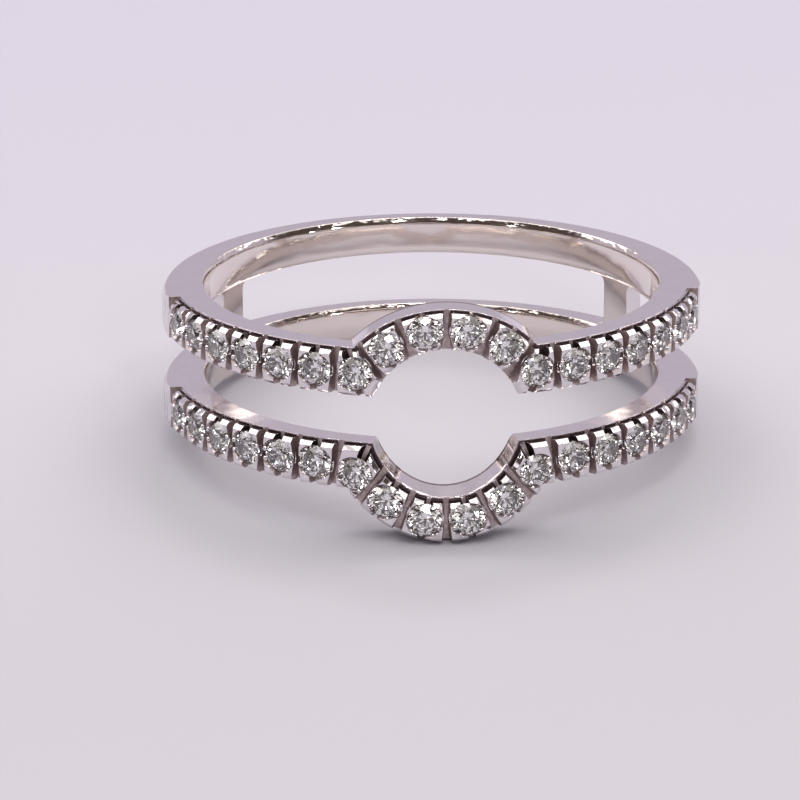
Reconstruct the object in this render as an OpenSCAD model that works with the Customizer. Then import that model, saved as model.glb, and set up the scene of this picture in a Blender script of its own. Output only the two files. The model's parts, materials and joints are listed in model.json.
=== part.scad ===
// Ring guard: two slim bands, joined behind by two posts, each with a half-round bow in front.
// The bows and the gap between the bands leave room for the stone and the band of a second ring.
// Round stones stand in one row over the front half of each band and over its bow.
// Sizes are in millimetres. The front looks to -Y and the ring lies on its side as it rests by itself.

/* [Bands] */
// Inner diameter of the bore
inner_d = 17; // [15:0.1:20]
// Distance between the mid planes of the two bands
band_pitch = 3.55; // [3.4:0.05:4.2]
// Width of one band at the front
front_band_w = 1.71; // [1.65:0.01:1.95]
// Width of one band at the back
back_band_w = 1.43; // [1.3:0.01:1.6]
// Wall of the bands at the front
front_wall = 1.4; // [1.25:0.05:1.6]
// Wall of the bands at the sides
side_wall = 1.7; // [1.65:0.05:2]
// Wall of the bands at the back
back_wall = 0.78; // [0.7:0.01:1.1]

/* [Bows] */
// Radius of the round opening between the two bows, at the front
opening_r = 2.9; // [2.8:0.05:3.2]
// Radius of that opening at the bore, which it narrows to
opening_back_r = 2.65; // [2.5:0.05:2.75]
// Width of the upper bow
upper_bow_w = 1.4; // [1.36:0.01:1.7]
// Width of the lower bow
lower_bow_w = 1.5; // [1.4:0.01:1.7]
// Distance of the bows' common centre below the middle between the bands
bow_drop = 0.12; // [0:0.01:0.2]

/* [Stones] */
// Diameter of a stone
stone_d = 1.22; // [1.1:0.01:1.26]
// Gap between two stones on a band
stone_gap = 0.335; // [0.29:0.005:0.4]
// Height of a stone above its girdle
crown_h = 0.2; // [0.16:0.01:0.24]
// Height of a stone's girdle
girdle_h = 0.035; // [0.02:0.005:0.06]
// Height of a stone below its girdle
pavilion_h = 0.53; // [0.5:0.01:0.62]
// Depth of the top of a stone's girdle below the metal's outer surface
girdle_depth = 0.12; // [0.1:0.01:0.16]
// Number of stones on each side of a bow, the one at the corner included
side_stones = 7; // [4:1:7]

/* [Setting] */
// Gap between a stone and its seat
seat_gap = 0.025; // [0.02:0.005:0.03]
// How far a seat's mouth laps over the stone's edge
seat_lap = 0.035; // [0.02:0.005:0.05]
// Width of the notch between two stones' blocks
notch_w = 0.28; // [0.16:0.01:0.3]
// Depth of that notch
notch_depth = 0.3; // [0.26:0.01:0.32]
// Width of the nick at the middle of a stone's edge
nick_w = 0.2; // [0.12:0.01:0.24]
// Depth of that nick
nick_depth = 0.17; // [0.12:0.01:0.2]
// Radius of the hole between two stones
well_r = 0.24; // [0.22:0.01:0.28]
// Depth of that hole
well_depth = 0.2; // [0.18:0.01:0.22]
// Depth, below the outer surface, at which the scored line on the side faces starts
score_depth = 0.35; // [0.34:0.01:0.45]
// Width and depth of the scored line
score_w = 0.06; // [0.04:0.01:0.08]

/* [Posts] */
// Width of a post between the bands
post_w = 1.5; // [1:0.05:2]
// Angle of a post round the ring from the front
post_angle = 120; // [110:1:135]
// Depth of a post's faces below the bands' inner and outer surfaces
post_inset = 0.12; // [0.115:0.005:0.2]
// Radius of the fillet between a post and a band
post_fillet = 0.34; // [0.2:0.01:0.4]

/* [Hidden] */
// Stones on a bow: angle from the bow's middle
BOW_STONES = [-37.5, -12.6, 12.6, 37.5];
// Place of a corner stone: share of the bow's mid radius sideways, share of the band's height up
CORNER_X = 0.922;
UPPER_CORNER_Z = 0.985;
LOWER_CORNER_Z = 1.155;
// A cut stone, as shares of its radius and of its crown's and pavilion's height
FACETS = 8;
TABLE = 0.57;
STAR = 0.765;
LOWER_HALF = 0.25;
// The two sides: which way the bow points
UP = 1;
DOWN = -1;
// Columns of a place on the outer surface: along the surface, and up
S = 0;
Z = 1;
// Length of a cutter that goes right through, how far plates start beyond the rounds that trim them,
// and how far a cut starts outside the metal
THROUGH = 40;
MARGIN = 2;
PAST = 0.3;
// How far a post and its fillets reach into a band
ROOT = 0.04;
// How much further a rounded edge's circle reaches than the band's widest face
EDGE_SPARE = 0.08;
// How far the bows stand back from the bore
BOW_STEP = 0.01;
// Half length of the cuts across a row, as a share of the widest metal that they cross
CUT_REACH = 0.7;
// How much further each stone of a row is turned about its own axis
STONE_TURN = 17;
METAL = [0.82, 0.8, 0.83];
STONE = [0.93, 0.95, 0.98];

bore_r = inner_d / 2;
// The outer surface is a round of this radius over the front and sides, and one set further forward behind
outer_r = bore_r + side_wall;
front_y = side_wall - front_wall;
back_y = back_wall - side_wall;

// Rounded edges of the bore and of the back: they start this far inside the band's narrowest face
edge_inset = 0.28;
edge_flat = back_band_w - 2 * edge_inset;
edge_r = (front_band_w - edge_flat) / 2 + EDGE_SPARE;
band_z = band_pitch / 2;
front_at = -(bore_r + front_wall);
back_at = bore_r + back_wall;

stone_r = stone_d / 2;
stone_pitch = stone_d + stone_gap;
seat_r = stone_r + seat_gap;
mouth_r = stone_r - seat_lap;
cut_reach = max(front_band_w, upper_bow_w, lower_bow_w) * CUT_REACH;

function bow_w(side) = side == UP ? upper_bow_w : lower_bow_w;
function bow_outer(side) = opening_r + bow_w(side);
function bow_mid(side) = opening_r + bow_w(side) / 2;
function corner_z(side) = band_z * (side == UP ? UPPER_CORNER_Z : LOWER_CORNER_Z);
// Radius of the opening at a distance from the ring's axis
function opening_at(reach) = opening_back_r + (opening_r - opening_back_r) * (reach - bore_r) / front_wall;

// Length along the outer surface from the front to a place that lies x to the side
function along(x) = asin(x / outer_r) * PI / 180 * outer_r;
function angle_at(s) = s / outer_r * 180 / PI;
corner_s = along(CORNER_X * bow_mid(UP));

function side_place(i, way, side) = [
    way * (corner_s + i * stone_pitch),
    side * (i == 0 ? corner_z(side) : band_z)
];
function bow_place(a, side) = [along(bow_mid(side) * sin(a)), side * bow_mid(side) * cos(a) - bow_drop];

// All stones of one row, from the left to the right
function row(side) = concat(
    [for (i = [side_stones - 1 : -1 : 0]) side_place(i, -1, side)],
    [for (a = BOW_STONES) bow_place(a, side)],
    [for (i = [0 : side_stones - 1]) side_place(i, 1, side)]
);
// The row with one more place at each end, so that every stone has a neighbour on both sides
function row_with_ends(side) = concat(
    [side_place(side_stones, -1, side)], row(side), [side_place(side_stones, 1, side)]
);
function direction(p, q) = atan2(q[Z] - p[Z], q[S] - p[S]);

row_count = 2 * side_stones + len(BOW_STONES);
function two_digits(n) = str(n < 10 ? "0" : "", n);
function stone_name(side, i) = str(side == UP ? "stone_upper_" : "stone_lower_", two_digits(i + 1));

// The ring rests on the lower bow's inner edge and on the lower band's back edge
edge_back = back_at - (edge_r - sqrt(pow(edge_r, 2) - pow(edge_inset, 2)));
back_half_h = band_z + back_band_w / 2;
bow_low = bow_outer(DOWN) + bow_drop;
tilt = atan((bow_low - back_half_h) / (bore_r + edge_back));
rest_z = bow_low * cos(tilt) - bore_r * sin(tilt);
front_reach = -front_at * cos(tilt) + bow_low * sin(tilt);
back_reach = (back_at - edge_r) * cos(tilt) + (band_z + edge_flat / 2) * sin(tilt) + edge_r;

// The ring as it rests, its box centred over the origin
module at_rest() {
    translate([0, (front_reach - back_reach) / 2, rest_z])
        rotate([-tilt, 0, 0])
            children();
}

// Places a shape on the outer surface, its z axis outwards and its x axis turned from along the band
module on_surface(place, turn = 0) {
    translate([0, front_y, 0])
        rotate([0, 0, angle_at(place[S])])
            translate([0, -outer_r, place[Z]])
                rotate([90, 0, 0])
                    rotate([0, 0, turn])
                        children();
}

// Height of a band's face at y: half_front at the front, half_back at the back, and straight in between
function share_back(y) = (y - front_at) / (back_at - front_at);
function face_z(y, half_front, half_back) = half_front + (half_back - half_front) * share_back(y);

// A band before its bore is cut: a wedge that narrows towards the back
module band_plate(side, inset) {
    ends = [front_at - MARGIN, back_at + MARGIN];
    inner = [for (y = ends) side * (face_z(y, band_z - front_band_w / 2, band_z - back_band_w / 2) + inset)];
    outer = [for (y = ends) side * (face_z(y, band_z + front_band_w / 2, band_z + back_band_w / 2) - inset)];
    rotate([90, 0, 90])
        linear_extrude(THROUGH, center = true)
            polygon([[ends[0], inner[0]], [ends[1], inner[1]], [ends[1], outer[1]], [ends[0], outer[0]]]);
}

// A bow before its opening is cut: half a disc that starts inside the band
module bow_plate(side, inset) {
    intersection() {
        translate([0, 0, -bow_drop])
            rotate([90, 0, 0])
                cylinder(r = bow_outer(side) - inset, h = outer_r + MARGIN, $fn = 128);
        translate([-THROUGH / 2, -THROUGH, side == UP ? band_z : -band_z - THROUGH])
            cube([THROUGH, THROUGH, THROUGH]);
    }
}

// The opening between the bows, a cone that narrows towards the bore
module opening(inset) {
    start = bore_r - MARGIN;
    end = outer_r + MARGIN;
    r_start = opening_at(start) + inset;
    r_end = opening_at(end) + inset;
    translate([0, 0, -bow_drop])
        rotate([90, 0, 0])
            translate([0, 0, start])
                cylinder(r1 = r_start, r2 = r_end, h = end - start, $fn = 128);
}

// Section through both bands of what the finger fills, with the flares at each band's two edges
module bore_section() {
    difference() {
        translate([0, -THROUGH / 2])
            square([bore_r + edge_r, THROUGH]);
        for (side = [UP, DOWN]) {
            translate([bore_r, side * band_z - edge_flat / 2])
                square([2 * edge_r, edge_flat]);
            for (edge = [-1, 1])
                translate([bore_r + edge_r, side * band_z + edge * edge_flat / 2])
                    circle(edge_r, $fn = 64);
        }
    }
}

// Section of the back's outer form, with its rounded edges
module back_section() {
    translate([0, -THROUGH / 2])
        square([outer_r - edge_r, THROUGH]);
    for (side = [UP, DOWN]) {
        translate([0, side * band_z - edge_flat / 2])
            square([outer_r, edge_flat]);
        for (edge = [-1, 1])
            translate([outer_r - edge_r, side * band_z + edge * edge_flat / 2])
                circle(edge_r, $fn = 64);
    }
}

// The front's outer form
module front_round() {
    translate([0, front_y, -THROUGH / 2])
        cylinder(r = outer_r, h = THROUGH, $fn = 192);
}

module back_round() {
    translate([0, back_y, 0])
        rotate_extrude($fn = 192)
            back_section();
}

// Outline of a post, with fillets at its four corners
module post_outline(h) {
    difference() {
        square([post_w + 2 * post_fillet, h], center = true);
        for (way = [-1, 1])
            translate([way * (post_w / 2 + post_fillet), 0]) {
                for (end = [-1, 1])
                    translate([0, end * (h / 2 - post_fillet)])
                        circle(post_fillet, $fn = 48);
                square([2 * post_fillet, h - 2 * post_fillet], center = true);
            }
    }
}

// A post between the bands, a little thinner than they are
module post(way) {
    at_y = -bore_r * cos(post_angle);
    gap = 2 * face_z(at_y, band_z - front_band_w / 2, band_z - back_band_w / 2);
    difference() {
        intersection() {
            rotate([0, 0, way * post_angle])
                translate([0, -bore_r, 0])
                    rotate([90, 0, 0])
                        translate([0, 0, -MARGIN])
                            linear_extrude(side_wall + 2 * MARGIN)
                                post_outline(gap + 2 * ROOT);
            translate([0, back_y, -THROUGH / 2])
                cylinder(r = outer_r - post_inset, h = THROUGH, $fn = 192);
        }
        translate([0, 0, -THROUGH / 2])
            cylinder(r = bore_r + post_inset, h = THROUGH, $fn = 192);
    }
}

// The bands, bows and posts as one plain body
module body() {
    difference() {
        intersection() {
            union() {
                difference() {
                    union() {
                        band_plate(UP, 0);
                        band_plate(DOWN, 0);
                    }
                    rotate_extrude($fn = 192)
                        bore_section();
                }
                difference() {
                    union() {
                        bow_plate(UP, 0);
                        bow_plate(DOWN, 0);
                    }
                    translate([0, 0, -THROUGH / 2])
                        cylinder(r = bore_r + BOW_STEP, h = THROUGH, $fn = 192);
                }
                post(1);
                post(-1);
            }
            front_round();
            back_round();
        }
        opening(0);
    }
}

// What a stone's seat takes out of the metal: the stone's own profile, wider by the gap, its mouth narrower
module seat() {
    crown_slope = crown_h / (stone_r * (1 - TABLE));
    pavilion_slope = pavilion_h / stone_r;
    crown_gap = seat_gap * sqrt(1 + pow(crown_slope, 2));
    pavilion_gap = seat_gap * sqrt(1 + pow(pavilion_slope, 2));
    top = -girdle_depth;
    bottom = top - girdle_h;
    rotate_extrude($fn = 48)
        polygon([
            [0, bottom - pavilion_h - pavilion_gap],
            [seat_r, bottom - pavilion_gap + seat_gap * pavilion_slope],
            [seat_r, top + crown_gap - seat_gap * crown_slope],
            [mouth_r, top + crown_gap + seat_lap * crown_slope],
            [mouth_r, PAST],
            [0, PAST]
        ]);
}

// The notch between two stones' blocks, with its sides sloping to a sharp bottom
module notch() {
    slope = notch_w / 2 / notch_depth;
    rotate([90, 0, 0])
        linear_extrude(2 * cut_reach, center = true)
            polygon([
                [-slope * (notch_depth + PAST), PAST],
                [0, -notch_depth],
                [slope * (notch_depth + PAST), PAST]
            ]);
}

// The round-bottomed nick at the middle of a stone's edge
module nick() {
    rotate([90, 0, 0])
        linear_extrude(2 * cut_reach, center = true) {
            translate([0, nick_w / 2 - nick_depth])
                circle(nick_w / 2, $fn = 24);
            translate([-nick_w / 2, nick_w / 2 - nick_depth])
                square([nick_w, nick_depth + PAST]);
        }
}

module well() {
    translate([0, 0, -well_depth])
        cylinder(r = well_r, h = well_depth + PAST, $fn = 32);
}

// All that is cut for one row of stones
module row_cuts(side) {
    places = row_with_ends(side);
    last = len(places) - 1;
    for (i = [1 : last - 1])
        on_surface(places[i], direction(places[i - 1], places[i + 1])) {
            seat();
            nick();
        }
    for (i = [0 : last - 1])
        on_surface((places[i] + places[i + 1]) / 2, direction(places[i], places[i + 1])) {
            notch();
            if (i > 0 && i < last - 1)
                well();
        }
}

// The fine line scored along the side faces, below the blocks
module scored_line() {
    end_angle = angle_at(corner_s + (side_stones - 0.5) * stone_pitch);
    difference() {
        translate([0, front_y, 0])
            rotate([0, 0, -90 - end_angle])
                rotate_extrude(angle = 2 * end_angle, $fn = 192)
                    translate([outer_r - score_depth - score_w, -THROUGH / 2])
                        square([score_w, THROUGH]);
        difference() {
            union() {
                band_plate(UP, score_w);
                band_plate(DOWN, score_w);
                bow_plate(UP, score_w);
                bow_plate(DOWN, score_w);
            }
            opening(score_w);
        }
    }
}

module guard_frame() {
    color(METAL)
        at_rest()
            difference() {
                body();
                scored_line();
                row_cuts(UP);
                row_cuts(DOWN);
            }
}

// A round stone: flat table, stars, kites and halves above the girdle, kites and halves below it
module cut_stone() {
    step = 360 / FACETS;
    function ring(r, z, count, first = 0) = [
        for (i = [0 : count - 1])
            let (a = first + i * 360 / count)
                [r * cos(a), r * sin(a), z]
    ];
    star_z = crown_h * (1 - STAR * cos(step / 2)) / (1 - TABLE);
    half_z = -girdle_h - pavilion_h * (1 - LOWER_HALF * cos(step / 2));
    n = FACETS;
    table = 0;
    star = n;
    upper = 2 * n;
    lower = 4 * n;
    half = 6 * n;
    culet = 7 * n;
    points = concat(
        ring(stone_r * TABLE, crown_h, n),
        ring(stone_r * STAR, star_z, n, step / 2),
        ring(stone_r, 0, 2 * n),
        ring(stone_r, -girdle_h, 2 * n),
        ring(stone_r * LOWER_HALF, half_z, n, step / 2),
        [[0, 0, -girdle_h - pavilion_h]]
    );
    around = [for (i = [0 : n - 1]) let (next = (i + 1) % n, before = (i + n - 1) % n) [i, next, before]];
    faces = concat(
        [[for (i = [n - 1 : -1 : 0]) table + i]],
        [for (a = around) [table + a[0], table + a[1], star + a[0]]],
        [for (a = around) [table + a[0], star + a[0], upper + 2 * a[0], star + a[2]]],
        [for (a = around) [star + a[0], upper + 2 * a[0] + 1, upper + 2 * a[0]]],
        [for (a = around) [star + a[0], upper + 2 * a[1], upper + 2 * a[0] + 1]],
        [for (i = [0 : 2 * n - 1])
            let (next = (i + 1) % (2 * n))
                [upper + i, upper + next, lower + next, lower + i]],
        [for (a = around) [culet, half + a[2], lower + 2 * a[0], half + a[0]]],
        [for (a = around) [half + a[0], lower + 2 * a[0], lower + 2 * a[0] + 1]],
        [for (a = around) [half + a[0], lower + 2 * a[0] + 1, lower + 2 * a[1]]]
    );
    polyhedron(points, faces);
}

// Stone number i of a row, each turned a little further about its own axis
module stone(side, i) {
    places = row(side);
    color(STONE)
        at_rest()
            on_surface(places[i], STONE_TURN * i)
                translate([0, 0, -girdle_depth])
                    cut_stone();
}

guard_frame();
for (side = [UP, DOWN])
    for (i = [0 : row_count - 1])
        stone(side, i);
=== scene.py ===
import json
import math

import bmesh
import bpy
from mathutils import Matrix, Vector


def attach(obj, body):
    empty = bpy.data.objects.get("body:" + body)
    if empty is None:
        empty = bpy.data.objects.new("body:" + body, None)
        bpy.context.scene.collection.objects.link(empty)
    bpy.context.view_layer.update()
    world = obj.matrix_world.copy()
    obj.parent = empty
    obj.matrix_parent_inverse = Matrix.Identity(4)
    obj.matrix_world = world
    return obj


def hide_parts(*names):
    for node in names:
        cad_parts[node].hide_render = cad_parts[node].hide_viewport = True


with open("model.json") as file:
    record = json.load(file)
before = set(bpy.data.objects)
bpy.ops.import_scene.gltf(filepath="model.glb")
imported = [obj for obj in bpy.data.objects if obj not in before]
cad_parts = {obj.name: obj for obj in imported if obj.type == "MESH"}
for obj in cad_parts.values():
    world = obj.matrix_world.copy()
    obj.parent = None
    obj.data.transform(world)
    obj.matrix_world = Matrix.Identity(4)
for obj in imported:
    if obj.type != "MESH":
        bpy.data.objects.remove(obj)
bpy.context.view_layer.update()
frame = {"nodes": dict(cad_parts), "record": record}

MM = 0.001
UP = 1
DOWN = -1
SIDES = (UP, DOWN)

# Sizes of the ring in millimetres, in its own frame: axis along Z, front towards -Y, middle at the origin
BORE_R = 8.5
FRONT_WALL = 1.4
SIDE_WALL = 1.7
BACK_WALL = 0.78
# Over the front and the sides the outer surface is a round of this radius, with its middle at this Y
OUTER_R = BORE_R + SIDE_WALL
FRONT_Y = SIDE_WALL - FRONT_WALL
FRONT_AT = -(BORE_R + FRONT_WALL)
BACK_AT = BORE_R + BACK_WALL
# Height of a band's mid plane, and a band's width in front and behind
BAND_Z = 1.775
FRONT_BAND_W = 1.71
BACK_BAND_W = 1.43
# The round opening, the width of each bow, and how far the bows' common centre lies below the middle
OPENING_R = 2.9
BOW_W = {UP: 1.4, DOWN: 1.5}
BOW_DROP = 0.12
STONE_D = 1.22
STONE_GAP = 0.335
STONE_PITCH = STONE_D + STONE_GAP
# Stones on each side of a bow, the one at the corner included, and the angles of those on the bow
SIDE_STONES = 7
BOW_STONES = (-37.5, -12.6, 12.6, 37.5)
# Place of a corner stone: share of the bow's mid radius sideways, share of the band's height up
CORNER_X = 0.922
CORNER_Z = {UP: 0.985, DOWN: 1.155}

# The ring's middle and axis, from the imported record. The bore's own middle lies a little below the ring's
BORE_MIDDLE = -0.17 * MM
bore = next(m for m in frame["record"]["mounts"] if m["name"] == "finger_bore")
ring_axis = Vector(bore["axis"]).normalized()
ring_centre = Vector(bore["pos_m"]) - ring_axis * BORE_MIDDLE
ring_tilt = math.atan2(ring_axis.y, ring_axis.z)
ring_frame = Matrix.Translation(ring_centre) @ Matrix.Rotation(-ring_tilt, 4, "X")
to_scene = ring_frame @ Matrix.Scale(MM, 4)


def placed(name, data):
    """Puts a mesh, a camera or a light into the scene."""
    made = bpy.data.objects.new(name, data)
    bpy.context.scene.collection.objects.link(made)
    return made


# Camera, as fitted to the photo: around the ring's own middle, in its tilted frame
PHOTO_SIDE = 800
SENSOR = 36
FOCAL_PX = 4470
NEAREST = 0.001
FURTHEST = 10
CAMERA_DISTANCE = 170 * MM
CAMERA_AZIMUTH = math.radians(-2.9)
CAMERA_ELEVATION = math.radians(18.1)
CAMERA_ROLL = math.radians(-0.10)
CAMERA_LEFT = 1.18 * MM
CAMERA_DOWN = 2.21 * MM


def make_camera():
    data = bpy.data.cameras.new("camera")
    data.sensor_width = SENSOR
    data.lens = FOCAL_PX * SENSOR / PHOTO_SIDE
    data.clip_start = NEAREST
    data.clip_end = FURTHEST
    camera = placed("camera", data)
    level = math.cos(CAMERA_ELEVATION)
    back = Vector((
        math.sin(CAMERA_AZIMUTH) * level,
        -math.cos(CAMERA_AZIMUTH) * level,
        math.sin(CAMERA_ELEVATION),
    ))
    right = Vector((math.cos(CAMERA_AZIMUTH), math.sin(CAMERA_AZIMUTH), 0))
    up = back.cross(right)
    turn = Matrix.Rotation(CAMERA_ROLL, 3, back)
    right = turn @ right
    up = turn @ up
    place = back * CAMERA_DISTANCE - right * CAMERA_LEFT - up * CAMERA_DOWN
    axes = Matrix((right, up, back)).transposed().to_4x4()
    camera.matrix_world = ring_frame @ Matrix.Translation(place) @ axes
    bpy.context.scene.camera = camera


make_camera()


# Nodes of materials and of the world
NOISE_ROUGH = 0.6
EDGE_SAMPLES = 4


class Graph:
    """A node tree, with one short call for each kind of node in use. Each call returns the node's output."""

    def __init__(self, tree):
        tree.nodes.clear()
        self.nodes = tree.nodes
        self.links = tree.links

    def feed(self, socket, given):
        """given: another node's output, or a plain value."""
        if isinstance(given, bpy.types.NodeSocket):
            self.links.new(given, socket)
        else:
            socket.default_value = given

    def where(self, kind):
        return self.nodes.new("ShaderNodeTexCoord").outputs[kind]

    def in_ring(self, source, location=(0, 0, 0), scale=(1, 1, 1)):
        """Turns a place or a direction into the ring's own frame."""
        made = self.nodes.new("ShaderNodeMapping")
        made.vector_type = "TEXTURE"
        self.feed(made.inputs["Location"], location)
        self.feed(made.inputs["Rotation"], (-ring_tilt, 0, 0))
        self.feed(made.inputs["Scale"], scale)
        self.feed(made.inputs["Vector"], source)
        return made.outputs["Vector"]

    def ring_place(self):
        """The place in the ring's own frame in millimetres, for patterns that follow its shape."""
        return self.in_ring(self.where("Object"), ring_centre, (MM, MM, MM))

    def ring_normal(self):
        return self.in_ring(self.where("Normal"))

    def parts(self, source):
        """The X, Y and Z of a vector."""
        made = self.nodes.new("ShaderNodeSeparateXYZ")
        self.feed(made.inputs["Vector"], source)
        return made.outputs

    def vector(self, operation, *given):
        made = self.nodes.new("ShaderNodeVectorMath")
        made.operation = operation
        for socket, value in zip(made.inputs, given):
            self.feed(socket, value)
        return made.outputs["Value" if operation in ("LENGTH", "DOT_PRODUCT") else "Vector"]

    def product(self, first, *others):
        for other in others:
            made = self.nodes.new("ShaderNodeMath")
            made.operation = "MULTIPLY"
            self.feed(made.inputs[0], first)
            self.feed(made.inputs[1], other)
            first = made.outputs["Value"]
        return first

    def remap(self, source, old, new, smooth=False):
        """old and new: two ends of a range each."""
        made = self.nodes.new("ShaderNodeMapRange")
        made.interpolation_type = "SMOOTHSTEP" if smooth else "LINEAR"
        for socket, value in zip(("From Min", "From Max", "To Min", "To Max"), (*old, *new)):
            self.feed(made.inputs[socket], value)
        self.feed(made.inputs["Value"], source)
        return made.outputs["Result"]

    def mask(self, source, edge, most=1):
        """0 up to the edge's first value, most from its second value on, and smooth between them."""
        return self.remap(source, edge, (0, most), True)

    def noise(self, source, pattern):
        """pattern: scale and detail."""
        made = self.nodes.new("ShaderNodeTexNoise")
        for socket, value in zip(("Scale", "Detail", "Roughness"), (*pattern, NOISE_ROUGH)):
            self.feed(made.inputs[socket], value)
        self.feed(made.inputs["Vector"], source)
        return made.outputs["Fac"]

    def mix(self, share, first, second):
        """Mix of two colours."""
        made = self.nodes.new("ShaderNodeMix")
        made.data_type = "RGBA"
        colour_sockets = [socket for socket in made.inputs if socket.type == "RGBA"]
        for socket, given in zip((made.inputs["Factor"], *colour_sockets), (share, first, second)):
            self.feed(socket, given)
        return next(socket for socket in made.outputs if socket.type == "RGBA")

    def ramp(self, source, stops):
        """stops: from low to high, each a position and a colour."""
        made = self.nodes.new("ShaderNodeValToRGB")
        elements = made.color_ramp.elements
        elements[0].position, elements[0].color = stops[0]
        elements[1].position, elements[1].color = stops[-1]
        for position, colour in stops[1:-1]:
            elements.new(position).color = colour
        self.feed(made.inputs["Fac"], source)
        return made.outputs["Color"]

    def bump(self, height, distance, normal=None):
        made = self.nodes.new("ShaderNodeBump")
        self.feed(made.inputs["Distance"], distance)
        self.feed(made.inputs["Height"], height)
        if normal is not None:
            self.feed(made.inputs["Normal"], normal)
        return made.outputs["Normal"]

    def soft_edges(self, radius):
        made = self.nodes.new("ShaderNodeBevel")
        made.samples = EDGE_SAMPLES
        self.feed(made.inputs["Radius"], radius)
        return made.outputs["Normal"]


def new_material(name):
    """A material, its graph and its surface's sockets."""
    material = bpy.data.materials.new(name)
    material.use_nodes = True
    graph = Graph(material.node_tree)
    shader = graph.nodes.new("ShaderNodeBsdfPrincipled")
    output = graph.nodes.new("ShaderNodeOutputMaterial")
    graph.feed(output.inputs["Surface"], shader.outputs["BSDF"])
    return material, graph, shader.inputs


# The polished metal. Inside the bore it is warmer, where its bright plating is thinner
PLATED = (0.80, 0.765, 0.785, 1)
PLATED_DULL = (0.77, 0.735, 0.75, 1)
WARM = (0.83, 0.765, 0.72, 1)
# Colour and strength of the painted dark reflection along the bore's edge
PAINTED_EDGE_DARK = (0.20, 0.155, 0.165, 1)
PAINTED_EDGE_DARK_MOST = 0.8
POLISH = (0.05, 0.14)
# Where each mask starts and where it is full: distance from the ring's axis, Y, or height, in millimetres
WARM_AT = (BORE_R + 0.22, BORE_R + 0.08)
PAINTED_EDGE_DARK_AT = (BORE_R + 0.16, BORE_R + 0.10)
RIM_FROM = (BORE_R + 0.02, BORE_R + 0.07)
RIM_TO = (BORE_R + 0.32, BORE_R + 0.22)
ROWS_AT = (BORE_R + 0.90, BORE_R + 1.00)
BEHIND_AT = (1, 4)
IN_FRONT_AT = (3, -1)
BAND_FROM = (0.9, 1.2)
# The same for the square of the surface direction's outward part, and of its part along the axis
SIDE_FACE_AT = (0.25, 0.09)
NOT_FLAT_AT = (0.96, 0.85)
# Noise patterns, each as scale and detail, the share of a noise's range that is used, and the depth of bumps
SPOTS = (1.6, 4)
SMUDGES = (5, 6)
WAVES = (0.9, 1)
BRUSH = (1.5, 3)
BRUSH_STRETCH = (0.5, 0.5, 9)
HAMMER = (2.2, 1)
CUTS = (2.4, 0)
SPOTS_RANGE = (0.35, 0.65)
SMUDGES_RANGE = (0.3, 0.7)
EDGE_R = 0.035 * MM
WAVES_DEPTH = 0.012 * MM
BRUSH_DEPTH = 0.0011 * MM
HAMMER_DEPTH = 0.06 * MM
CUTS_DEPTH = 0.1 * MM


def up_and_down(graph, place, pattern):
    """Noise about zero."""
    return graph.remap(graph.noise(place, pattern), (0, 1), (-0.5, 0.5))


def hammered_rim(graph, place, radius):
    """Uneven height along the edges of the bore at the back, which breaks up the bright line there."""
    _, y, z = graph.parts(place)
    edge = [end ** 2 for end in BAND_FROM]
    rim = graph.product(
        graph.mask(radius, RIM_FROM),
        graph.mask(radius, RIM_TO),
        graph.mask(y, BEHIND_AT),
        graph.mask(graph.product(z, z), edge),
    )
    return graph.product(up_and_down(graph, place, HAMMER), rim)


def graver_cuts(graph, place, radius, normal, in_front):
    """Uneven height among the stones: only on the rows, and not on the flat side faces."""
    level = graph.parts(normal)["Z"]
    worked = graph.product(
        graph.mask(graph.product(level, level), NOT_FLAT_AT),
        graph.mask(radius, ROWS_AT),
        in_front,
    )
    return graph.product(up_and_down(graph, place, CUTS), worked)


def polished_metal():
    material, graph, surface = new_material("white_metal")
    place = graph.ring_place()
    normal = graph.ring_normal()
    flat = graph.vector("MULTIPLY", place, (1, 1, 0))
    radius = graph.vector("LENGTH", flat)
    in_front = graph.mask(graph.parts(place)["Y"], IN_FRONT_AT)

    spots = graph.remap(graph.noise(place, SPOTS), SPOTS_RANGE, (0, 1))
    plated = graph.mix(spots, PLATED, PLATED_DULL)
    colour = graph.mix(graph.mask(radius, WARM_AT), plated, WARM)
    # a thin dark line painted along the bore's edge, on the faces that don't belong to the bore itself: a
    # painted dark reflection of the rounded edge
    facing = graph.vector("DOT_PRODUCT", graph.vector("NORMALIZE", flat), normal)
    side_face = graph.mask(graph.product(facing, facing), SIDE_FACE_AT)
    line = graph.product(side_face, graph.mask(radius, PAINTED_EDGE_DARK_AT, PAINTED_EDGE_DARK_MOST), in_front)
    smudges = graph.noise(place, SMUDGES)

    waves = graph.bump(graph.noise(place, WAVES), WAVES_DEPTH, graph.soft_edges(EDGE_R))
    brush_marks = graph.noise(graph.vector("MULTIPLY", place, BRUSH_STRETCH), BRUSH)
    brushed = graph.bump(brush_marks, BRUSH_DEPTH, waves)
    hammered = graph.bump(hammered_rim(graph, place, radius), HAMMER_DEPTH, brushed)
    cuts = graver_cuts(graph, place, radius, normal, in_front)

    graph.feed(surface["Metallic"], 1)
    graph.feed(surface["Base Color"], graph.mix(line, colour, PAINTED_EDGE_DARK))
    graph.feed(surface["Roughness"], graph.remap(smudges, SMUDGES_RANGE, POLISH))
    graph.feed(surface["Normal"], graph.bump(cuts, CUTS_DEPTH, hammered))
    return material


# Metal as it was cast, in the channels and the seats. The recesses that face up get a much darker copy of it,
# which is painted shade
CAST_COLOUR = (0.58, 0.50, 0.49, 1)
CAST_SHADE = (0.40, 0.33, 0.325, 1)
PAINTED_SHADE_COLOUR = (0.13, 0.095, 0.10, 1)
PAINTED_SHADE_DEEPER = (0.07, 0.045, 0.05, 1)
GRAINS = (7, 5)
GRAINS_DEPTH = 0.02 * MM
CAST_ROUGHNESS = (0.28, 0.48)


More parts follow.
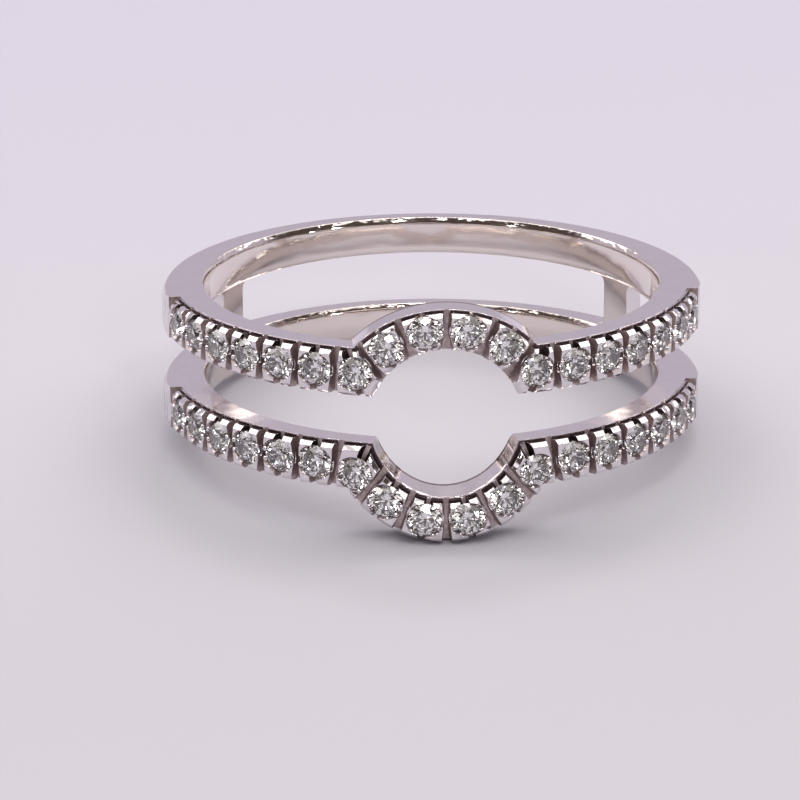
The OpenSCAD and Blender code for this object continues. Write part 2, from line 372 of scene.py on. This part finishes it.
def grained_metal(name, colour, shade):
    material, graph, surface = new_material(name)
    grains = graph.noise(graph.ring_place(), GRAINS)
    shaded = graph.mix(graph.remap(grains, SPOTS_RANGE, (0, 1)), colour, shade)
    graph.feed(surface["Metallic"], 1)
    graph.feed(surface["Base Color"], shaded)
    graph.feed(surface["Roughness"], graph.remap(grains, SMUDGES_RANGE, CAST_ROUGHNESS))
    graph.feed(surface["Normal"], graph.bump(grains, GRAINS_DEPTH))
    return material


# The stones: clear, with a faint tint that varies along the rows, and a trace of haze
STONE_COOL = (0.985, 1.0, 1.0, 1)
STONE_WARM = (1.0, 0.985, 0.985, 1)
STONE_IOR = 2.3
TINT = (0.45, 1)
TINT_RANGE = (0.4, 0.6)
HAZE = (3, 3)
HAZE_RANGE = (0.45, 0.75)
HAZE_MOST = 0.03


def clear_stone():
    material, graph, surface = new_material("clear_stone")
    place = graph.ring_place()
    tint = graph.remap(graph.noise(place, TINT), TINT_RANGE, (0, 1))
    haze = graph.remap(graph.noise(place, HAZE), HAZE_RANGE, (0, HAZE_MOST))
    graph.feed(surface["Base Color"], graph.mix(tint, STONE_COOL, STONE_WARM))
    graph.feed(surface["Roughness"], haze)
    graph.feed(surface["IOR"], STONE_IOR)
    graph.feed(surface["Transmission Weight"], 1)
    return material


POLISHED_SLOT = 0
CAST_SLOT = 1
PAINTED_SHADE_SLOT = 2
METALS = (
    polished_metal(),
    grained_metal("grained_metal", CAST_COLOUR, CAST_SHADE),
    # The darker copy of the cast metal: painted shade for the recesses that face up
    grained_metal("painted_shade_recess", PAINTED_SHADE_COLOUR, PAINTED_SHADE_DEEPER),
)


# Places on the outer surface over the front: s along it from the middle of the front, z up
def outer_point(s, z, out=0.0):
    a = s / OUTER_R
    r = OUTER_R + out
    return Vector((r * math.sin(a), FRONT_Y - r * math.cos(a), z))


def outwards(s):
    a = s / OUTER_R
    return Vector((math.sin(a), -math.cos(a), 0))


def along(x):
    """Length along the surface from the front to a place that lies x to the side."""
    return math.asin(x / OUTER_R) * OUTER_R


def bow_outer(side):
    return OPENING_R + BOW_W[side]


def bow_mid(side):
    return OPENING_R + BOW_W[side] / 2


corner_s = along(CORNER_X * bow_mid(UP))


def side_place(i, way, side):
    z = BAND_Z * (CORNER_Z[side] if i == 0 else 1)
    return Vector((way * (corner_s + i * STONE_PITCH), side * z))


def bow_place(degrees, side):
    a = math.radians(degrees)
    return Vector((along(bow_mid(side) * math.sin(a)), side * bow_mid(side) * math.cos(a) - BOW_DROP))


def stone_row(side):
    """Places of a row's stones from left to right, with one more place at each end."""
    left = [side_place(i, -1, side) for i in range(SIDE_STONES, -1, -1)]
    middle = [bow_place(a, side) for a in BOW_STONES]
    right = [side_place(i, 1, side) for i in range(SIDE_STONES + 1)]
    return left + middle + right


ROWS = {side: stone_row(side) for side in SIDES}


def row_axes(p, q):
    """Directions along and across the row between two places."""
    d = (q - p).normalized()
    return d, Vector((-d.y, d.x))


def stones():
    """Each stone's place and the row's axes there."""
    for side in SIDES:
        row = ROWS[side]
        for before, place, after in zip(row, row[1:], row[2:]):
            yield (place, *row_axes(before, after))


def on_surface(place, d, n, u, v, out):
    """The point u along and v across the row from a place, so far outside the surface."""
    spot = place + d * u + n * v
    return outer_point(spot.x, spot.y, out)


class Shape:
    """Closed shells, given in the ring's own frame and collected into one mesh."""

    def __init__(self):
        self.points = []
        self.faces = []
        self.slots = []

    def sweep(self, rings, slots=()):
        """Joins rings of as many points each into a closed tube. slots: of the first strips, in order."""
        count = len(rings[0])
        strip = list(slots) + [POLISHED_SLOT] * (count - len(slots))
        faces = [list(range(count))[::-1]]
        for k in range(len(rings) - 1):
            for i in range(count):
                j = (i + 1) % count
                faces.append([k * count + i, k * count + j, (k + 1) * count + j, (k + 1) * count + i])
        faces.append([(len(rings) - 1) * count + i for i in range(count)])
        first = len(self.points)
        self.points += [point for ring in rings for point in ring]
        self.faces += [[first + i for i in face] for face in faces]
        self.slots += [strip[0]] + strip * (len(rings) - 1) + [strip[0]]

    def ball(self, centre, radius, around=12, rows=7):
        rings = []
        for k in range(1, rows):
            t = math.pi * k / rows
            rings.append([
                centre + radius * Vector((
                    math.sin(t) * math.cos(2 * math.pi * i / around),
                    math.sin(t) * math.sin(2 * math.pi * i / around),
                    -math.cos(t),
                ))
                for i in range(around)
            ])
        self.sweep(rings)

    def groove(self, place, d, n, sections, slot):
        """Sweeps a groove across a row. sections: place across it, and half profile (half width, height)."""
        rings = []
        for v, half in sections:
            profile = [(-u, w) for u, w in half] + [(u, w) for u, w in reversed(half)]
            rings.append([on_surface(place, d, n, u, v, w) for u, w in profile])
        self.sweep(rings, [slot] * len(rings[0]))

    def made(self, name):
        data = bpy.data.meshes.new(name)
        data.from_pydata([to_scene @ Vector(point) for point in self.points], [], self.faces)
        for metal in METALS:
            data.materials.append(metal)
        for face, slot in zip(data.polygons, self.slots):
            face.material_index = slot
        mesh = bmesh.new()
        mesh.from_mesh(data)
        bmesh.ops.recalc_face_normals(mesh, faces=mesh.faces)
        mesh.to_mesh(data)
        mesh.free()
        return placed(name, data)


# How far a cutter starts outside the metal, and how far it reaches across a row from its middle
PAST = 0.12
ACROSS = 1.15

# The bright border: a slanted facet along each edge, and on the side that faces up a step down behind it.
# Depth of the step below the outer surface, how far it goes into the side face, and height of its foot, which
# with the step's wall is painted dark as shade
STEP_DEPTH = 0.33
STEP_H = 0.08
STEP_FOOT = 0.07
# Width of the facet on the sides that face up, and on the others
FACET = 0.14
LOWER_FACET = 0.11
# About how long the straight parts are that follow the curved edges
BORDER_PART = 0.35
# The shares of a bow's radius between which it meets the band, and how often that range is halved
JOIN_FROM = 0.5
JOIN_TO = 0.9999
JOIN_HALVINGS = 40


def half_width(y):
    share = (y - FRONT_AT) / (BACK_AT - FRONT_AT)
    return (FRONT_BAND_W + (BACK_BAND_W - FRONT_BAND_W) * share) / 2


def edge_path(side, outer):
    """Points of one edge of a row, each with the direction out of its side face.

    The edge ends half a pitch beyond the row's last stone.
    """
    end_s = corner_s + (SIDE_STONES - 0.5) * STONE_PITCH
    radius = bow_outer(side) if outer else OPENING_R
    turn = 1 if outer else -1

    def band_z(x):
        y = FRONT_Y - math.sqrt(OUTER_R ** 2 - x ** 2)
        return side * (BAND_Z + turn * half_width(y))

    def meets(x):
        return band_z(x) + BOW_DROP - side * math.sqrt(radius ** 2 - x ** 2)

    low, high = JOIN_FROM * radius, JOIN_TO * radius
    for _ in range(JOIN_HALVINGS):
        middle = (low + high) / 2
        if meets(low) * meets(middle) <= 0:
            high = middle
        else:
            low = middle
    join_x = (low + high) / 2
    join_a = math.asin(join_x / radius)
    join_s = along(join_x)

    def bow_face(a):
        return turn * Vector((math.sin(a), 0, side * math.cos(a)))

    band_face = Vector((0, 0, side * turn))
    mitre = (bow_face(join_a) + band_face).normalized()
    mitre /= mitre.dot(band_face)
    right = [(join_s, band_z(join_x), mitre)]
    steps = max(2, round((end_s - join_s) / BORDER_PART))
    for k in range(1, steps + 1):
        s = join_s + (end_s - join_s) * k / steps
        right.append((s, band_z(OUTER_R * math.sin(s / OUTER_R)), band_face))
    bow = []
    steps = max(4, 2 * round(join_a * radius / BORDER_PART))
    for k in range(-steps + 1, steps):
        a = join_a * k / steps
        bow.append((along(radius * math.sin(a)), side * radius * math.cos(a) - BOW_DROP, bow_face(a)))
    left = [(-s, z, Vector((-f.x, f.y, f.z))) for s, z, f in reversed(right)]
    return left + bow + right


def border_cutter():
    shape = Shape()
    stepped = [
        (-STEP_DEPTH, PAST),
        (-STEP_DEPTH, -STEP_H),
        (-STEP_DEPTH + STEP_FOOT, -STEP_H),
        (-FACET, -STEP_H),
        (0, -STEP_H - FACET),
        (PAST, -STEP_H - FACET - PAST),
        (PAST, PAST),
    ]
    plain_facet = [
        (-LOWER_FACET - PAST, PAST),
        (PAST, -LOWER_FACET - PAST),
        (PAST, PAST),
    ]
    for side in SIDES:
        for outer in (True, False):
            faces_up = (side == UP) == outer
            section = stepped if faces_up else plain_facet
            rings = []
            for s, z, face in edge_path(side, outer):
                place = outer_point(s, z)
                out = outwards(s)
                level = Vector((math.cos(s / OUTER_R), math.sin(s / OUTER_R), 0)) * face.x
                level.z = face.z
                rings.append([place + u * out + v * level for u, v in section])
            # On the side that faces up, the step's wall and foot are painted dark as shade
            shape.sweep(rings, (PAINTED_SHADE_SLOT, PAINTED_SHADE_SLOT) if faces_up else ())
    return shape.made("border_cutter")


# The channel between two stones: narrow in the middle and wide at both ends, with a flat floor. On the upper
# bow its inner end is wider still
CHANNEL_MIDDLE_W = 0.19
CHANNEL_END_W = 0.42
CHANNEL_WIDEST = 0.85
CHANNEL_FLOOR = 0.6
CHANNEL_DEPTH = 0.42


def on_bow(i):
    """Whether the channel after place i of a row lies on its bow."""
    return abs(i + 0.5 - len(ROWS[UP]) / 2) < len(BOW_STONES) / 2


def channel_cutter():
    shape = Shape()
    for side in SIDES:
        row = ROWS[side]
        for i, (before, after) in enumerate(zip(row, row[1:])):
            inner_w = CHANNEL_WIDEST if side == UP and on_bow(i) else CHANNEL_END_W
            sections = []
            for v, wide in ((-ACROSS * side, inner_w), (0, CHANNEL_MIDDLE_W), (ACROSS * side, CHANNEL_END_W)):
                top = wide / 2 * (1 + PAST / CHANNEL_DEPTH)
                sections.append((v, [(top, PAST), (wide / 2 * CHANNEL_FLOOR, -CHANNEL_DEPTH)]))
            shape.groove((before + after) / 2, *row_axes(before, after), sections, CAST_SLOT)
    return shape.made("channel_cutter")


# The hollow round each stone, sloping down to its girdle
HOLLOW_LOW_R = STONE_D / 2
HOLLOW_SLOPE_W = 0.09
HOLLOW_DEPTH = 0.13
HOLLOW_SIDES = 40
# Its height across the row, as a share of its width along the row
HOLLOW_UPRIGHT = 0.92


def hollow_cutter():
    shape = Shape()
    mouth_r = HOLLOW_LOW_R + HOLLOW_SLOPE_W * (1 + PAST / HOLLOW_DEPTH)
    levels = (
        (mouth_r, PAST),
        (HOLLOW_LOW_R, -HOLLOW_DEPTH),
        (HOLLOW_LOW_R / 2, -HOLLOW_DEPTH),
    )
    for place, d, n in stones():
        rings = []
        for radius, out in levels:
            rings.append([
                on_surface(place, d, n, radius * math.cos(a), HOLLOW_UPRIGHT * radius * math.sin(a), out)
                for a in (2 * math.pi * k / HOLLOW_SIDES for k in range(HOLLOW_SIDES))
            ])
        shape.sweep(rings, [CAST_SLOT] * HOLLOW_SIDES)
    return shape.made("hollow_cutter")


# The notch at the middle of each stone's edges, wider where it faces up, where its walls carry painted shade.
# Its half profile is given as half width and height
NOTCH_PROFILE = ((0.16, PAST), (0.15, -0.04), (0.12, -0.2), (0.06, -0.35))
NOTCH_SPREAD = 1.6
NOTCH_FROM = 0.2


def notch_cutter():
    shape = Shape()
    spread = [(u * NOTCH_SPREAD, w) for u, w in NOTCH_PROFILE]
    for place, d, n in stones():
        # The half of the notch that faces up is painted dark as shade, and the other half is cast metal
        shape.groove(place, d, n, [(NOTCH_FROM, NOTCH_PROFILE), (ACROSS, spread)], PAINTED_SHADE_SLOT)
        shape.groove(place, d, n, [(-ACROSS, NOTCH_PROFILE), (-NOTCH_FROM, NOTCH_PROFILE)], CAST_SLOT)
    return shape.made("notch_cutter")


# Small beads that lap over each stone's edge: distance and angle from the stone's middle, and radius
BEADS = (
    (0.60, 16, 0.10),
    (0.60, -20, 0.10),
    (0.65, -52, 0.08),
)
BEAD_DEPTH = 0.05


def beads():
    shape = Shape()
    for place, d, n in stones():
        for reach, degrees, radius in BEADS:
            a = math.radians(degrees)
            for right in (-1, 1):
                u = right * reach * math.cos(a)
                v = reach * math.sin(a)
                shape.ball(on_surface(place, d, n, u, v, -BEAD_DEPTH), radius)
    return shape.made("beads")


# Points of the frame's mesh closer than this are one, and its faces are smooth over edges flatter than this
WELD = 0.0001 * MM
SMOOTH_UNDER = math.radians(28)
# The seats under the stones are left as cast, so that little light comes back from behind a stone
SEAT_R = 0.64
SEAT_FROM = 0.1
SEAT_TO = 1


def boolean(piece, tool, operation):
    """Cuts the tool from the piece or joins it to it. The tool goes."""
    modifier = piece.modifiers.new(tool.name, "BOOLEAN")
    modifier.object = tool
    modifier.operation = operation
    modifier.solver = "MANIFOLD"
    bpy.context.view_layer.update()
    made = bpy.data.meshes.new_from_object(piece.evaluated_get(bpy.context.evaluated_depsgraph_get()))
    piece.modifiers.clear()
    piece.data = made
    bpy.data.objects.remove(tool)


def shells(mesh):
    """The mesh's faces, shell by shell, from the smallest shell to the largest."""
    waiting = dict.fromkeys(mesh.faces)
    found = []
    while waiting:
        first = waiting.popitem()[0]
        shell = [first]
        ahead = [first]
        while ahead:
            for edge in ahead.pop().edges:
                for face in edge.link_faces:
                    if face in waiting:
                        del waiting[face]
                        shell.append(face)
                        ahead.append(face)
        found.append(shell)
    return sorted(found, key=len)


def drop_loose_shells(data):
    """Keeps the largest shell: beads that hang free over a channel go, and slivers that the cuts left."""
    mesh = bmesh.new()
    mesh.from_mesh(data)
    loose = [face for shell in shells(mesh)[:-1] for face in shell]
    bmesh.ops.delete(mesh, geom=loose, context="FACES")
    mesh.to_mesh(data)
    mesh.free()


def darken_seats(data):
    to_ring = to_scene.inverted()
    furthest = (OUTER_R + SEAT_R) ** 2
    seats = [(outer_point(place.x, place.y), outwards(place.x)) for place, _, _ in stones()]
    for face in data.polygons:
        middle = to_ring @ face.center
        if middle.x ** 2 + (middle.y - FRONT_Y) ** 2 > furthest:
            continue
        for top, out in seats:
            way = middle - top
            depth = -way.dot(out)
            if SEAT_FROM < depth < SEAT_TO and (way + depth * out).length < SEAT_R:
                face.material_index = CAST_SLOT
                break


def make_guard():
    data = frame["nodes"]["guard_frame"].data.copy()
    mesh = bmesh.new()
    mesh.from_mesh(data)
    bmesh.ops.remove_doubles(mesh, verts=mesh.verts, dist=WELD)
    mesh.to_mesh(data)
    mesh.free()
    if "custom_normal" in data.attributes:
        data.attributes.remove(data.attributes["custom_normal"])
    data.materials.clear()
    for metal in METALS:
        data.materials.append(metal)
    guard = placed("guard", data)
    for cutter in (border_cutter, channel_cutter, hollow_cutter, notch_cutter):
        boolean(guard, cutter(), "DIFFERENCE")
    boolean(guard, beads(), "UNION")
    drop_loose_shells(guard.data)
    darken_seats(guard.data)
    guard.data.name = "guard"
    guard.data.shade_smooth()
    guard.data.set_sharp_from_angle(angle=SMOOTH_UNDER)
    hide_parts("guard_frame")
    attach(guard, "root")


def dress_stones():
    """The stones keep the CAD's own shape."""
    clear = clear_stone()
    for name, piece in frame["nodes"].items():
        if name != "guard_frame":
            piece.data.materials.clear()
            piece.data.materials.append(clear)


make_guard()
dress_stones()


# Floor: pale paper whose tone shifts from the front to the ring and from the ring to the back. These shifts
# are painted light: painted shade darkens the paper towards the front, and the back turns bluer
FLOOR_HALF = 500 * MM
FLOOR_NEAR = 0
FLOOR_FAR = 45 * MM
FLOOR_FRONT = -22 * MM
PAPER_FRONT_PAINTED_SHADE = (0.412, 0.403, 0.450, 1)
PAPER_NEAR = (0.442, 0.433, 0.483, 1)
PAPER_FAR = (0.438, 0.426, 0.502, 1)
PAPER_ROUGHNESS = 0.9
PAPER_SHINE = 0.1


def pale_paper():
    material, graph, surface = new_material("pale_paper")
    y = graph.parts(graph.where("Object"))["Y"]
    paper = graph.mix(graph.mask(y, (FLOOR_NEAR, FLOOR_FAR)), PAPER_NEAR, PAPER_FAR)
    # painted shade: the paper is darker towards the front
    paper = graph.mix(graph.mask(y, (FLOOR_NEAR, FLOOR_FRONT)), paper, PAPER_FRONT_PAINTED_SHADE)
    graph.feed(surface["Base Color"], paper)
    graph.feed(surface["Roughness"], PAPER_ROUGHNESS)
    graph.feed(surface["Specular IOR Level"], PAPER_SHINE)
    return material


def make_floor():
    data = bpy.data.meshes.new("floor")
    corners = [(x * FLOOR_HALF, y * FLOOR_HALF, 0) for x, y in ((-1, -1), (1, -1), (1, 1), (-1, 1))]
    data.from_pydata(corners, [], [(0, 1, 2, 3)])
    data.materials.append(pale_paper())
    floor = placed("floor", data)


make_floor()


# Light: a pale dome that is brightest overhead, soft boxes at the sides, and a dark room behind the
# photographer. The dome's stops are the Z of a direction and the colour there
SKY = (
    (0.0, (0.52, 0.47, 0.54, 1)),
    (0.22, (0.575, 0.515, 0.595, 1)),
    (0.44, (0.56, 0.51, 0.57, 1)),
    (0.54, (0.57, 0.52, 0.57, 1)),
    (0.68, (1.15, 1.08, 1.07, 1)),
    (0.86, (1.62, 1.52, 1.46, 1)),
    (0.93, (1.62, 1.52, 1.46, 1)),
    (0.975, (0.86, 0.81, 0.80, 1)),
)
ROOM = (0.08, 0.06, 0.055, 1)
SIDE_BOX = (2.6, 2.42, 2.35, 1)
STRIP = (3.6, 3.4, 3.3, 1)
# Each patch: its direction, the cosines where it starts and is full, its colour
PATCHES = (
    ((0, -0.87, 0.49), (0.88, 0.95), ROOM),
    ((-0.62, 0.42, 0.66), (0.87, 0.93), SIDE_BOX),
    ((0.62, 0.42, 0.66), (0.87, 0.93), SIDE_BOX),
)
# Each band: where it starts and is full at its lower and its upper edge, as Z, and towards its side, as Y.
# The first is the dark room across the front. The second is a long strip light high behind the ring, which
# draws the bright line along the back's inner edge
BANDS = (
    ((0.03, 0.10), (0.66, 0.58), (0.20, -0.12), ROOM),
    ((0.74, 0.78), (0.87, 0.83), (0.18, 0.30), STRIP),
)


def make_world():
    world = bpy.data.worlds.new("studio")
    bpy.context.scene.world = world
    world.use_nodes = True
    graph = Graph(world.node_tree)
    way = graph.where("Generated")
    _, y, z = graph.parts(way)
    colour = graph.ramp(z, SKY)
    for direction, edge, patch_colour in PATCHES:
        facing = graph.vector("DOT_PRODUCT", way, Vector(direction).normalized())
        colour = graph.mix(graph.mask(facing, edge), colour, patch_colour)
    for lower, upper, ahead, band_colour in BANDS:
        band = graph.product(graph.mask(z, lower), graph.mask(z, upper), graph.mask(y, ahead))
        colour = graph.mix(band, colour, band_colour)
    background = graph.nodes.new("ShaderNodeBackground")
    output = graph.nodes.new("ShaderNodeOutputWorld")
    graph.feed(background.inputs["Color"], colour)
    graph.feed(output.inputs["Surface"], background.outputs["Background"])


make_world()

# Small lamps for glints: azimuth from the front, elevation, size, power, colour
LAMP_DISTANCE = 0.5
WHITE = (1, 1, 1)
WARM_WHITE = (1, 0.97, 0.95)
LAMPS = (
    (20, 75, 0.12, 0.18, WARM_WHITE),
    (-70, 40, 0.05, 0.03, (1, 0.97, 0.94)),
    (60, 35, 0.05, 0.03, (1, 0.97, 0.94)),
    (170, 55, 0.07, 0.15, WARM_WHITE),
    (-62, 57, 0.03, 0.04, WHITE),
    (-44, 60, 0.03, 0.04, (0.82, 0.94, 1)),
    (2, 60, 0.03, 0.04, WHITE),
    (14, 58, 0.03, 0.04, WHITE),
    (52, 60, 0.03, 0.04, WHITE),
    (66, 57, 0.03, 0.04, WHITE),
    (15, 30, 0.05, 0.16, WHITE),
    (-28, 44, 0.05, 0.06, (0.80, 0.86, 1)),
    (-12, 62, 0.06, 0.09, WHITE),
    (38, 56, 0.06, 0.08, (1, 0.93, 0.76)),
    (-48, 18, 0.03, 0.08, (1, 0.98, 0.96)),
    (48, 12, 0.03, 0.08, (1, 0.98, 0.96)),
)


def lamp(name, azimuth, elevation, size, power, colour):
    a = math.radians(azimuth)
    e = math.radians(elevation)
    place = Vector((math.sin(a) * math.cos(e), -math.cos(a) * math.cos(e), math.sin(e))) * LAMP_DISTANCE
    data = bpy.data.lights.new(name, "AREA")
    data.shape = "DISK"
    data.size = size
    data.energy = power
    data.color = colour
    light = placed(name, data)
    light.location = place
    light.rotation_mode = "QUATERNION"
    light.rotation_quaternion = place.to_track_quat("Z", "Y")


for number, given in enumerate(LAMPS):
    lamp(f"lamp_{number}", *given)

bpy.context.scene.view_settings.view_transform = "Standard"
